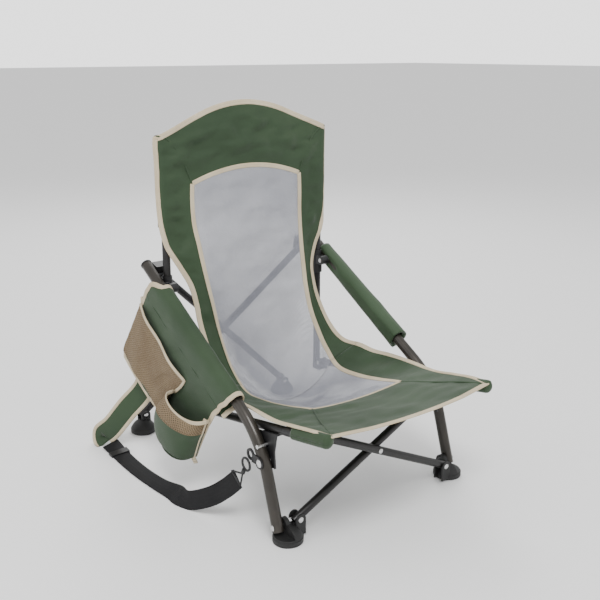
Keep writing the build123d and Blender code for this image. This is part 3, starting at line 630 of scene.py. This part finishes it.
def sling_tape(rows_across, width=11.0, height=3.4, shift=4.2):
    """A tape along the sling's edge; rows_across lists (row, across, side); shift moves it inwards."""
    path = []
    for i, (row, across, side) in enumerate(rows_across):
        point = sling(row, across, side)
        before = sling(*rows_across[max(i - 1, 0)])
        after = sling(*rows_across[min(i + 1, len(rows_across) - 1)])
        way = (after - before).normalized()
        near = sling(row, max(across - 0.06, 0.0), side) if across > 0 else sling(row, 0.06, side)
        inner = sling(row - 0.2 if row > last_row - 1 else row + 0.2, across, side)
        share = ease((abs(way.x) - 0.35) / 0.5)
        guide = (near - point).normalized() * (1 - share) + (inner - point).normalized() * share
        inward = (guide - way * guide.dot(way)).normalized()
        up = way.cross(inward).normalized()
        path.append((point + inward * shift, inward, up))
    return tape(path, width, height)


def across_line(row, reach, steps):
    line = []
    for i in range(steps + 1):
        t = -reach + 2 * reach * i / steps
        line.append((row, abs(t), 1 if t > 0 else -1))
    return line


def side_line(first, last, across, side):
    return [(row, across, side) for row in rows_between(first, last)]


def make_sling():
    held = sling_edges(0, last_row)
    free = calm_near(held, 30)
    green_back = joined(
        [sling_part(bend_row, mesh_top_row, 1, 2, side, 16) for side in (-1, 1)]
        + [sling_part(mesh_top_row, last_row, low, low + 1, side, 16) for side in (-1, 1) for low in (0, 1)]
    )
    wrinkle(green_back, (58, 60, 26), 11.0, calm_near(held, 50))
    green_seat = joined(
        [sling_part(mesh_front_row, bend_row, 1, 2, side, 16) for side in (-1, 1)]
        + [sling_part(0, mesh_front_row, low, low + 1, side, 16) for side in (-1, 1) for low in (0, 1)]
    )
    wrinkle(green_seat, (80, 40, 40), 4.2, free)
    net_back = joined([sling_part(bend_row, mesh_top_row, 0, 1, side, 16) for side in (-1, 1)])
    wrinkle(net_back, (80, 50, 38), 3.6, free)
    net_seat = joined([sling_part(mesh_front_row, bend_row, 0, 1, side, 16) for side in (-1, 1)])
    wrinkle(net_seat, (60, 60, 60), 3.0, free)
    back = place_mesh("back_cloth", green_back, green_cloth, "pole_left", thickness=1.2)
    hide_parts("back_fabric")
    seat = place_mesh("seat_cloth", green_seat, green_cloth, "rail_left", thickness=1.2)
    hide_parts("seat_fabric")
    back_net = place_mesh("back_net", net_back, grey_net, "pole_left", thickness=0.6)
    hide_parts("back_mesh")
    seat_net = place_mesh("seat_net", net_seat, grey_net, "rail_left", thickness=0.6)
    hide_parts("seat_mesh")
    tapes = {"pole_left": [], "rail_left": []}
    for side in (-1, 1):
        tapes["pole_left"].append(sling_tape(side_line(bend_row, mesh_top_row, 1, side), 10, 3.0, 0))
        tapes["rail_left"].append(sling_tape(side_line(mesh_front_row, bend_row, 1, side), 10, 3.0, 0))
    rising = [side_line(bend_row, last_row - 0.125, 2, side) for side in (-1, 1)]
    over_top = rising[0] + across_line(last_row, 1.97, 60) + rising[1][::-1]
    tapes["pole_left"].append(sling_tape(over_top))
    tapes["pole_left"].append(sling_tape(across_line(mesh_top_row, 1, 30), 10, 3.0, 0))
    falling = [side_line(0.125, bend_row, 2, side)[::-1] for side in (-1, 1)]
    round_front = falling[0] + across_line(0, 1.97, 60) + falling[1][::-1]
    tapes["rail_left"].append(sling_tape(round_front))
    tapes["rail_left"].append(sling_tape(across_line(mesh_front_row, 1, 30), 8, 3.0, 0))
    back_band = joined(tapes["pole_left"], 0.001)
    back_tape = place_mesh("back_binding", back_band, cream_tape, "pole_left")
    seat_band = joined(tapes["rail_left"], 0.001)
    seat_tape = place_mesh("seat_binding", seat_band, cream_tape, "rail_left")
    return back, back_net, seat, seat_net, back_tape, seat_tape


back, back_net, seat, seat_net, back_tape, seat_tape = make_sling()


def seam(first, last, steps=24):
    """A sewn ridge on the sling from one (row, across) place to another, on both sides."""
    ridges = []
    for side in (-1, 1):
        points = []
        for i in range(steps + 1):
            t = i / steps
            row = first[0] + (last[0] - first[0]) * t
            across = first[1] + (last[1] - first[1]) * t
            points.append(sling(row, across, side))
        ridges.append(tape(framed(points, (0, -1, 0.6)), 3.2, 3.0))
    return joined(ridges, 0.001)


back_ridges = seam((mesh_top_row, 1), (last_row, 1.97))
back_seam = place_mesh("back_seams", back_ridges, green_cloth, "pole_left")
seat_ridges = seam((mesh_front_row, 1), (0, 1.97))
seat_seam = place_mesh("seat_seams", seat_ridges, green_cloth, "rail_left")


def pole_pocket(side):
    """The back layer of the pocket that holds a pole's upper part."""
    low_row, high_row = 14.0, 18.9

    def place(u, v):
        row = low_row + (high_row - low_row) * v
        edge = sling(row, 1.97, side)
        angle = math.pi * (1.08 - 1.08 * u)
        radius = 11.5
        x = pole_x + radius * math.cos(angle) * (1.35 if math.cos(angle) < 0 else 1.25)
        y = 140.0 + radius * math.sin(angle)
        if u < 0.12:
            y = 133.5 + (y - 133.5) * u / 0.12
        y += 1.2 * noise.noise(Vector((u * 3, v * 9, side)))
        return Vector((side * x, y, edge.z + 2 * math.sin(angle)))

    bm = cloth_grid(16, 40, place, (40, 200))
    name = "left" if side < 0 else "right"
    piece = place_mesh(
        f"pole_pocket_{name}", bm, green_cloth, f"pole_{name}", fold=False, thickness=1.2
    )


def rail_pocket(side):
    """The sewn pocket under the seat's edge that holds a side rail's front end."""
    first, last = -296.0, -393.0

    def place(u, v):
        y = first + (last - first) * v
        centre_z = 130 + (122 - y) * 0.1949
        angle = 2 * math.pi * u
        end = min(1.0, (1 - v) / 0.07 + 0.12) ** 0.5
        rise = math.sin(angle)
        tall = 14.5 if rise > 0 else 11.0
        wide = 11.0 * (1 + 0.07 * noise.noise(Vector((u * 4, v * 5, side))))
        return Vector((side * (pole_x + wide * math.cos(angle) * end), y, centre_z + tall * rise * end))

    bm = cloth_grid(24, 36, place, (75, first - last))
    bmesh.ops.remove_doubles(bm, verts=bm.verts, dist=0.01)
    front_edges = [e for e in bm.edges if e.is_boundary and e.verts[0].co.y < last + 1]
    bmesh.ops.holes_fill(bm, edges=front_edges, sides=0)
    name = "left" if side < 0 else "right"
    piece = place_mesh(
        f"rail_pocket_{name}", bm, green_cloth, f"rail_{name}", fold=False, thickness=1.0
    )


for side in (-1, 1):
    pole_pocket(side)
    rail_pocket(side)


# ---- arms ----------------------------------------------------------------------------------------
knee = Vector((0, -224, 182))
arm_end = Vector((0, 185, 420))
arm_way = (arm_end - knee).normalized()
arm_down = Vector((0, arm_way.z, -arm_way.y))
arm_lane = 220.0


def arm_point(along, down, x):
    point = knee + arm_way * along + arm_down * down
    return Vector((x, point.y, point.z))


def make_arm_pad():
    """The padded sleeve on the right arm: a tube sewn along its underside, open at both ends."""
    first, last = 131.0, 432.0

    def place(u, v):
        along = first + (last - first) * v
        angle = 2 * math.pi * u
        puff = 1 + 0.05 * noise.noise(Vector((u * 4, v * 7, 0)))
        radius = (18.5 + 3.5 * (1 - v)) * puff
        tail = 4.0 * max(0.0, math.cos(angle)) ** 6
        side = radius * math.sin(angle) * (1.1 if math.sin(angle) > 0 else 0.88)
        inner_limit = 206.4 + 3.3 * ease((along - 345) / 20)
        down = (radius + tail) * math.cos(angle) + 1.5
        return arm_point(along, down, max(arm_lane + side + 2.5, inner_limit))

    bm = cloth_grid(40, 60, place, (115, last - first))
    bmesh.ops.remove_doubles(bm, verts=bm.verts, dist=0.01)
    ends = [e for e in bm.edges if e.is_boundary]
    for _ in range(2):
        grown = bmesh.ops.extrude_edge_only(bm, edges=ends)["geom"]
        verts = [g for g in grown if isinstance(g, bmesh.types.BMVert)]
        for vert in verts:
            along = (vert.co - knee).dot(arm_way)
            centre = knee + arm_way * along + Vector((arm_lane, 0, 0))
            vert.co += (centre - vert.co) * 0.17
            vert.co += arm_way * (4.0 if along < (first + last) / 2 else -4.0) * (0.2 if _ == 0 else 1.6)
        ends = [g for g in grown if isinstance(g, bmesh.types.BMEdge) and g.is_boundary]
    bmesh.ops.recalc_face_normals(bm, faces=bm.faces)
    pad = place_mesh("arm_pad", bm, pad_cloth, "side_right", fold=False)
    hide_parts("arm_pad_right")
    share = [i / 40 for i in range(41)]
    points = [arm_point(first + (last - first) * t, 26 - 3.5 * t, arm_lane + 2.5) for t in share]
    welt = tape(framed(points, (1, 0, 0)), 7, 2.2)
    place_mesh("arm_pad_seam", welt, pad_cloth, "side_right", fold=False)


make_arm_pad()

# ---- organiser ---------------------------------------------------------------------------------
# The cover's section across the arm, from the inner seam round the tube and down: (x, down).
cover_section = [
    (-236.5, 42),
    (-228, 30),
    (-214, 20),
    (-207.5, 8),
    (-207.5, -8),
    (-213, -17),
    (-222, -20),
    (-232, -16),
    (-238, -5),
    (-240.5, 14),
    (-240.5, 40),
    (-241, 80),
    (-242, 120),
    (-244, 165),
    (-246, 230),
]
# Outline of the hanging panel: (down, front end, rear end), both measured along the arm.
panel_outline = [
    (-22, 86, 412),
    (0, 90, 419),
    (30, 101, 425),
    (64, 110, 427),
    (100, 113, 430),
    (132, 113, 433),
    (165, 112, 436),
    (193, 111, 439),
    (205, 150, 439),
    (218, 250, 437),
    (232, 320, 430),
    (246, 378, 414),
]


def panel_ends(down):
    """Front and rear end of the hanging panel at a depth below the arm's line."""
    for low, high in zip(panel_outline, panel_outline[1:]):
        if low[0] <= down <= high[0]:
            t = (down - low[0]) / (high[0] - low[0])
            t = ease(t) if low[0] < 193 else t
            return low[1] + (high[1] - low[1]) * t, low[2] + (high[2] - low[2]) * t
    return panel_outline[-1][1:]


def section_at(v):
    return through(cover_section, v * (len(cover_section) - 1))


def panel_x(down):
    return -240.5 - 5.5 * (max(down, 0) / 230) ** 1.3


def organiser_point(u, v):
    """The cover sheet: v goes from its inner seam over the tube and down to its low edge."""
    x, down = section_at(v)
    round_the_tube = v < 9 / (len(cover_section) - 1)
    front, rear = (90, 384) if round_the_tube and x > -232 else panel_ends(min(down, 245))
    if round_the_tube:
        share = ease((-x - 226) / 14) if v > 0.4 else 0.0
        low_front, low_rear = panel_ends(max(down, -20))
        front = 88 + (low_front - 88) * share
        rear = 388 + (low_rear - 388) * share
    along = front + (rear - front) * u
    sag = 1.5 * math.sin(math.pi * u)
    return arm_point(along, down, x - sag * ease(down / 60))


def make_organiser():
    cover = cloth_grid(48, 72, organiser_point, (330, 330))
    wrinkle(cover, (60, 70, 26), 1.6)
    piece = place_mesh(
        "organiser_cover", cover, green_cloth, "side_left", fold=False, thickness=1.4
    )
    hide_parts("organiser_sleeve", "organiser_panel")
    steps = 60
    front = [organiser_point(0.0, i / steps) for i in range(steps + 1)]
    rear = [organiser_point(1.0, i / steps) for i in range(steps + 1)]
    low = [organiser_point(i / steps, 1.0) for i in range(steps + 1)]
    sides = ((front, arm_way), (rear, -arm_way), (low, -arm_down))
    edges = [tape(hem(points, inward, 3.5), 10, 3.4) for points, inward in sides]
    binding = place_mesh(
        "organiser_binding", joined(edges, 0.001), cream_tape, "side_left", fold=False
    )
    stitch = [arm_point(104 + 310 * i / 40, 33, -241.4) for i in range(41)]
    line = tape(framed(stitch, (1, 0, 0)), 2.6, 1.6)
    seam_piece = place_mesh("organiser_seam", line, green_cloth, "side_left", fold=False)


make_organiser()

# The tan net pocket on the rear part of the panel.
pocket_front = 216.0
pocket_top = 66.0
pocket_low = 214.0


def pocket_point(u, v):
    """u from the front end to the rear end, v from the opening down to the low seam."""
    down = pocket_top + (pocket_low - pocket_top) * v + (12 * (1 - v) * (1 - u)) - 6 * (1 - v)
    front, rear = panel_ends(min(down, 240))
    start = pocket_front + 44 * ease(v * 1.1)
    along = start + (rear - 2 - start) * u
    swell = 9.0 * math.sin(math.pi * min(u * 1.02, 1)) ** 0.7 * (1 - 0.65 * v) + 2.0
    fold = 3.4 * math.sin(9 * u + 2.0 * v) * math.sin(math.pi * u)
    slit = 7.0 * math.exp(-(((u - 0.16 - 0.1 * v) / 0.045) ** 2))
    slit *= ease((v - 0.1) / 0.3) * ease((1 - v) / 0.15)
    return arm_point(along, down, min(panel_x(down) - swell - fold - 1.2 + slit, panel_x(down) - 4.0))


def make_pocket():
    net = cloth_grid(72, 40, pocket_point, (205, 145))
    piece = place_mesh(
        "organiser_net_pocket", net, tan_net, "side_left", fold=False, thickness=0.8
    )
    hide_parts("organiser_pocket")
    mouth = [pocket_point(i / 40, 0.0) for i in range(41)]
    edges = [tape(hem(mouth, arm_down, 2.5), 7.5, 2.8)]
    short = [pocket_point(0.0, i / 14) for i in range(6)]
    edges.append(tape(framed(short, (-1, 0, 0)), 6.5, 2.8))
    rim = place_mesh(
        "organiser_net_binding", joined(edges, 0.001), cream_tape, "side_left", fold=False
    )


make_pocket()

# The bottle holder: an open bag whose mouth stands out from the panel's front low corner.
# Rows go down from the mouth: (rear end y, z), (front end y, z), how far it stands out.
holder_rows = [
    (42, 194, -90, 176, 34),
    (60, 175, -81, 160, 40),
    (74, 158, -72, 143, 43),
    (79, 138, -61, 126, 46),
    (78, 118, -52, 108, 47),
    (70, 101, -44, 92, 45),
    (56, 91, -37, 79, 41),
]
band_rows = 2.0


def holder_point(u, row):
    """u from the rear end to the front end round the outside of the holder."""
    rear_y, rear_z, front_y, front_z, out = through(holder_rows, row)
    y = (rear_y + front_y) / 2 + (rear_y - front_y) / 2 * (math.cos(math.pi * u))
    z = rear_z + (front_z - rear_z) * (rear_y - y) / (rear_y - front_y)
    droop = 9.0 * math.sin(math.pi * u) ** 2 * max(0.0, 1 - row / 3)
    base = panel_x(150) - 2.0
    bulge = out * max(0.0, math.sin(math.pi * u)) ** 0.5
    return Vector((base - bulge, y, z - droop))


def make_holder():
    def band_place(u, v):
        return holder_point(u, v * band_rows)

    def cup_place(u, v):
        point = holder_point(u, band_rows + v * (len(holder_rows) - 1 - band_rows))
        crease = 2.2 * noise.noise(Vector((u * 5, v * 2.2, 3)))
        return point + Vector((crease, 0, 0)) * math.sin(math.pi * u)

    def floor_place(u, v):
        point = holder_point(u, len(holder_rows) - 1)
        base = panel_x(150) - 2.0
        return Vector((base + (point.x - base) * v, point.y, point.z - 5 * math.sin(math.pi * u) * v))

    band = cloth_grid(40, 10, band_place, (180, 34))
    band_piece = place_mesh("holder_band", band, tan_net, "side_left", fold=False, thickness=0.8)
    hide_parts("bottle_holder_band")
    cup = joined([cloth_grid(40, 24, cup_place, (185, 75)), cloth_grid(40, 8, floor_place, (90, 20))], 1.0)
    cup_piece = place_mesh(
        "holder_cup", cup, green_cloth, "side_left", fold=False, thickness=1.2
    )
    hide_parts("bottle_holder_cup")
    rim = [holder_point(i / 40, 0.0) for i in range(41)]
    mouth_tape = tape(hem(rim, Vector((0, 0, -1)), 2.5), 7.5, 3.0)
    mouth = place_mesh("holder_rim", mouth_tape, cream_tape, "side_left", fold=False)
    front = [holder_point(0.995, 0.1 + i * 0.196) for i in range(31)]
    front.append(front[-1] + Vector((4, -3, -13)))
    edge = tape(hem(front, Vector((-0.45, 0.85, 0.25)), 3), 10, 3.4)
    front_edge = place_mesh("holder_front_binding", edge, cream_tape, "side_left", fold=False)
    low = [holder_point(i / 40, band_rows) for i in range(41)]
    line = tape(framed(low, lambda p: (0, 0, 1)), 2.4, 2.4)
    joint = place_mesh("holder_seam", line, tan_net, "side_left", fold=False)


make_holder()

# ---- carry strap -----------------------------------------------------------------------------------
# Places along the webbing and the direction of its width, from the hook to the slider and the pad.
web_rows = [
    (-245, -185, 93, 0, 0.81, 0.59),
    (-256, -160, 66, 0, 0.72, 0.69),
    (-272, -130, 41, 0.03, 0.55, 0.83),
    (-292, -88, 20.5, 0.1, 0.25, 0.96),
    (-296, -52, 16, 0.6, 0.1, 0.75),
    (-291, -20, 9.5, 0.9, 0, 0.42),
    (-295, 35, 3.6, 1, 0, 0.1),
    (-299, 100, 2.2, 1, 0, 0.02),
    (-299, 160, 2.2, 1, 0, 0.02),
    (-297, 210, 3.6, 1, 0, 0.05),
    (-297, 255, 9, 0.9, -0.3, 0.2),
]
pad_rows = [
    (-296, 268, 7, 0.5, -0.8, -0.2),
    (-300, 282, 20, 0.45, -0.75, -0.4),
    (-288, 257, 46, 0.25, -0.72, -0.65),
    (-264, 230, 92, 0.25, -0.72, -0.65),
    (-235, 202, 141, 0.2, -0.75, -0.6),
    (-228, 196, 190, 0.1, -0.85, -0.4),
    (-224, 188, 260, 0.05, -0.95, -0.2),
    (-223, 181, 345, 0.05, -1, -0.1),
]


def ribbon_frame(rows, place):
    x, y, z, across_x, across_y, across_z = through(rows, place)
    after = through(rows, min(place + 0.05, len(rows) - 1))
    before = through(rows, max(place - 0.05, 0))
    way = (Vector(after[:3]) - Vector(before[:3])).normalized()
    across = Vector((across_x, across_y, across_z))
    across = (across - way * across.dot(way)).normalized()
    return Vector((x, y, z)), across, way.cross(across).normalized()


def ribbon(rows, first, last, width, height, steps, shift=0.0):
    path = []
    for i in range(steps + 1):
        point, across, up = ribbon_frame(rows, first + (last - first) * i / steps)
        path.append((point + across * shift, across, up))
    return path


def keep_above_floor(bm, low=0.6):
    for vert in bm.verts:
        vert.co.z = max(vert.co.z, low)


def make_strap():
    web = tape(ribbon(web_rows, 0, len(web_rows) - 1, 38, 2, 120), 38, 2.0, squareness=0.3)
    keep_above_floor(web)
    webbing = place_mesh("strap_web", web, black_webbing, "side_left", fold=False)
    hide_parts("strap_webbing")
    top = Vector((-240.2, -193.5, 105.5))
    corners = [top, Vector((-247, -196, 84)), Vector((-247, -168, 103)), top]
    wires = []
    for a, b in zip(corners, corners[1:]):
        wires.append(tape(framed([a, (a + b) / 2, b], (1, 0, 0)), 3.4, 3.4, 12, 1.0))
    ring = joined(wires, 0.001)
    place_mesh("strap_end_ring", ring, black_plastic, "side_left", fold=False)
    pad = tape(ribbon(pad_rows, 0, len(pad_rows) - 1, 52, 4, 90), 50, 4.6, squareness=0.35)
    keep_above_floor(pad)
    sleeve = place_mesh("strap_pad", pad, green_cloth, "side_left", fold=False)
    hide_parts("strap_band")
    edges = []
    for side in (-1, 1):
        edge = tape(ribbon(pad_rows, 0, len(pad_rows) - 1, 52, 4, 90, side * 23.5), 8, 6.0)
        keep_above_floor(edge)
        edges.append(edge)
    place_mesh(
        "strap_pad_binding", joined(edges, 0.001), cream_tape, "side_left", fold=False
    )


make_strap()
